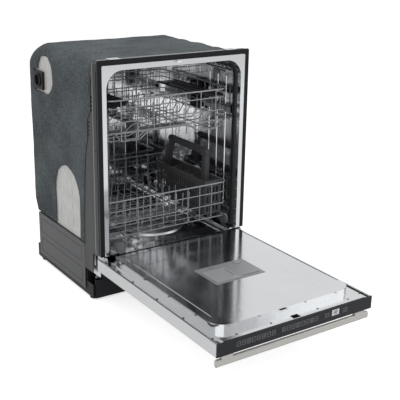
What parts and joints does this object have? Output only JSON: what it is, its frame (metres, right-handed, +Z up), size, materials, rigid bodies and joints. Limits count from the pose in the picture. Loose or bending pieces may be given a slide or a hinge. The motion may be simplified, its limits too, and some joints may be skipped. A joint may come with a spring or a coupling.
{
  "type": "built-in dishwasher",
  "caption": "Built-in dishwasher with a drop-down door, sliding wire racks, cutlery basket, wash arms, filter, felt-wrapped steel tub and a base with its pumps.",
  "frame": {"origin": "on the floor, under the middle of the box round the appliance with its door open", "axes": "+Z up, +Y towards the back wall, +X to the right as seen from the front; the door opens towards -Y"},
  "size_m": [0.604, 1.25, 0.86],
  "materials": {
    "tub_steel": "fine brushed, bright",
    "door_liner_steel": "near-mirror pressed steel",
    "door_skin_steel": "brushed",
    "trim_black": "satin black",
    "channel_steel": "dark coated sheet",
    "seal_rubber": "matt",
    "felt": "coarse dark blue-grey felt",
    "base_black": "grained black",
    "side_panel_grey": "dark grey coated sheet",
    "foot_black": "plain",
    "tank_white": "milky, slightly translucent",
    "pump_black": "plain",
    "zinc_steel": "zinc-coated",
    "grey_plastic": "light grey",
    "rail_steel": "drawn steel",
    "pin_steel": "turned",
    "filter_steel": "perforated",
    "vent_grey": "light grey",
    "spring_steel": "oiled wire",
    "filter_grey": "grey",
    "panel_black": "smooth dark",
    "display": "pale window",
    "handle_steel": "brushed",
    "dispenser_grey": "grey",
    "lid_grey": "light grey",
    "latch_black": "plain",
    "screw_steel": "dark",
    "rack_grey": "nylon coat on steel wire",
    "upper_rack_grey": "nylon coat on steel wire",
    "wheel_grey": "plain",
    "basket_grey": "moulded dark grey",
    "adjuster_black": "moulded black",
    "manifold_grey": "grey"
  },
  "bodies": {
    "cabinet": {"tub": "tub_steel", "front_trim": "trim_black", "front_channels": "channel_steel", "door_seal": "seal_rubber", "insulation_blanket": "felt", "base_pan": "base_black", "side_panels": "side_panel_grey", "toe_kick": "base_black", "levelling_feet": "foot_black", "air_break_tank": "tank_white", "vent_outlet": "base_black", "sump": "pump_black", "circulation_pump": "pump_black", "drain_pump": "pump_black", "inlet_valve": "tank_white", "junction_box": "zinc_steel", "feed_tube": "grey_plastic", "fixed_rails": "rail_steel", "hinge_brackets": "zinc_steel", "hinge_pins": "pin_steel", "door_strike": "tub_steel", "mounting_tabs": "zinc_steel", "fine_filter": "filter_steel", "vent_cover": "vent_grey", "door_springs": "spring_steel"},
    "lower_arm": {"lower_wash_arm": "grey_plastic"},
    "top_arm": {"top_wash_arm": "grey_plastic"},
    "filter": {"coarse_filter": "filter_grey"},
    "float": {"float_dome": "filter_grey"},
    "door": {"inner_door": "door_liner_steel", "outer_panel": "door_skin_steel", "control_panel": "panel_black", "display_window": "display", "handle_bar": "handle_steel", "handle_posts": "handle_steel", "hinge_arms": "zinc_steel", "dispenser_body": "dispenser_grey", "door_latch": "latch_black", "door_screws": "screw_steel", "bottom_seal": "seal_rubber"},
    "lid": {"dispenser_lid": "lid_grey"},
    "cap": {"rinse_cap": "lid_grey"},
    "lower_rack": {"lower_rack_floor": "rack_grey", "lower_rack_walls": "rack_grey", "roller_carriers": "wheel_grey"},
    "wheels_1": {"lower_wheels_1": "wheel_grey"},
    "wheels_2": {"lower_wheels_2": "wheel_grey"},
    "wheels_3": {"lower_wheels_3": "wheel_grey"},
    "wheels_4": {"lower_wheels_4": "wheel_grey"},
    "tines_front": {"tine_row_front": "rack_grey"},
    "tines_middle": {"tine_row_middle": "rack_grey"},
    "basket": {"cutlery_basket": "basket_grey"},
    "rails": {"middle_rails": "rail_steel"},
    "carriage": {"height_adjusters": "adjuster_black"},
    "upper_rack": {"upper_rack_floor": "upper_rack_grey", "upper_rack_walls": "upper_rack_grey", "manifold": "manifold_grey"},
    "comb": {"comb_shelf": "adjuster_black"},
    "shelf": {"flat_shelf": "adjuster_black"},
    "middle_arm": {"middle_wash_arm": "grey_plastic"}
  },
  "joints": [
    {"name": "door_hinge", "type": "hinge", "parent": "cabinet", "child": "door", "pos_m": [0, 0.057, 0.178], "axis": [1, 0, 0], "range_deg": [-90, 0], "deforming": ["door_springs"]},
    {"name": "dispenser_lid_slide", "type": "slide", "parent": "door", "child": "lid", "axis": [-1, 0, 0], "range_m": [-0.08, 0]},
    {"name": "rinse_cap_turn", "type": "hinge", "parent": "door", "child": "cap", "pos_m": [0.062, -0.226, 0.2], "axis": [0, 0, 1], "range_deg": [-90, 0]},
    {"name": "lower_rack_slide", "type": "slide", "parent": "cabinet", "child": "lower_rack", "axis": [0, -1, 0], "range_m": [0, 0.52]},
    {"name": "tine_row_front_fold", "type": "hinge", "parent": "lower_rack", "child": "tines_front", "pos_m": [0, 0.165, 0.2454], "axis": [1, 0, 0], "range_deg": [-82, 0]},
    {"name": "tine_row_middle_fold", "type": "hinge", "parent": "lower_rack", "child": "tines_middle", "pos_m": [0, 0.261, 0.2454], "axis": [1, 0, 0], "range_deg": [-82, 0]},
    {"name": "basket_lift", "type": "slide", "parent": "lower_rack", "child": "basket", "axis": [0, 0, -1], "range_m": [-0.05, 0]},
    {"name": "upper_rack_slide", "type": "slide", "parent": "cabinet", "child": "carriage", "axis": [0, -1, 0], "range_m": [0, 0.34]},
    {"name": "middle_rail_slide", "type": "slide", "parent": "cabinet", "child": "rails", "axis": [0, -1, 0], "range_m": [0, 0.17]},
    {"name": "upper_rack_height", "type": "slide", "parent": "carriage", "child": "upper_rack", "axis": [0, 0, -1], "range_m": [-0.03, 0]},
    {"name": "comb_shelf_fold", "type": "hinge", "parent": "upper_rack", "child": "comb", "pos_m": [-0.237, 0.257, 0.69], "axis": [0, 1, 0], "range_deg": [-80, 0]},
    {"name": "flat_shelf_fold", "type": "hinge", "parent": "upper_rack", "child": "shelf", "pos_m": [0.237, 0.257, 0.69], "axis": [0, -1, 0], "range_deg": [-80, 0]},
    {"name": "middle_arm_spin", "type": "hinge", "parent": "upper_rack", "child": "middle_arm", "pos_m": [0, 0.337, 0.543], "axis": [0, 0, 1], "continuous": true},
    {"name": "lower_arm_spin", "type": "hinge", "parent": "cabinet", "child": "lower_arm", "pos_m": [0, 0.337, 0.205], "axis": [0, 0, 1], "continuous": true},
    {"name": "top_arm_spin", "type": "hinge", "parent": "cabinet", "child": "top_arm", "pos_m": [0, 0.337, 0.784], "axis": [0, 0, 1], "continuous": true},
    {"name": "filter_turn", "type": "hinge", "parent": "cabinet", "child": "filter", "pos_m": [0.072, 0.257, 0.18], "axis": [0, 0, 1], "range_deg": [-90, 0]},
    {"name": "float_lift", "type": "slide", "parent": "cabinet", "child": "float", "axis": [0, 0, -1], "range_m": [-0.012, 0]},
    {"name": "wheels_1_spin", "type": "hinge", "parent": "lower_rack", "child": "wheels_1", "pos_m": [0, 0.113, 0.2127], "axis": [1, 0, 0], "range_deg": [0, 1760]},
    {"name": "wheels_2_spin", "type": "hinge", "parent": "lower_rack", "child": "wheels_2", "pos_m": [0, 0.213, 0.2127], "axis": [1, 0, 0], "range_deg": [0, 1760]},
    {"name": "wheels_3_spin", "type": "hinge", "parent": "lower_rack", "child": "wheels_3", "pos_m": [0, 0.373, 0.2127], "axis": [1, 0, 0], "range_deg": [0, 1760]},
    {"name": "wheels_4_spin", "type": "hinge", "parent": "lower_rack", "child": "wheels_4", "pos_m": [0, 0.473, 0.2127], "axis": [1, 0, 0], "range_deg": [0, 1760]}
  ],
  "couplings": [
    {"joint": "middle_rail_slide", "follows": "upper_rack_slide", "ratio": 0.5},
    {"joint": "wheels_1_spin", "follows": "lower_rack_slide", "rad_per_m": 58.824},
    {"joint": "wheels_2_spin", "follows": "lower_rack_slide", "rad_per_m": 58.824},
    {"joint": "wheels_3_spin", "follows": "lower_rack_slide", "rad_per_m": 58.824},
    {"joint": "wheels_4_spin", "follows": "lower_rack_slide", "rad_per_m": 58.824}
  ]
}
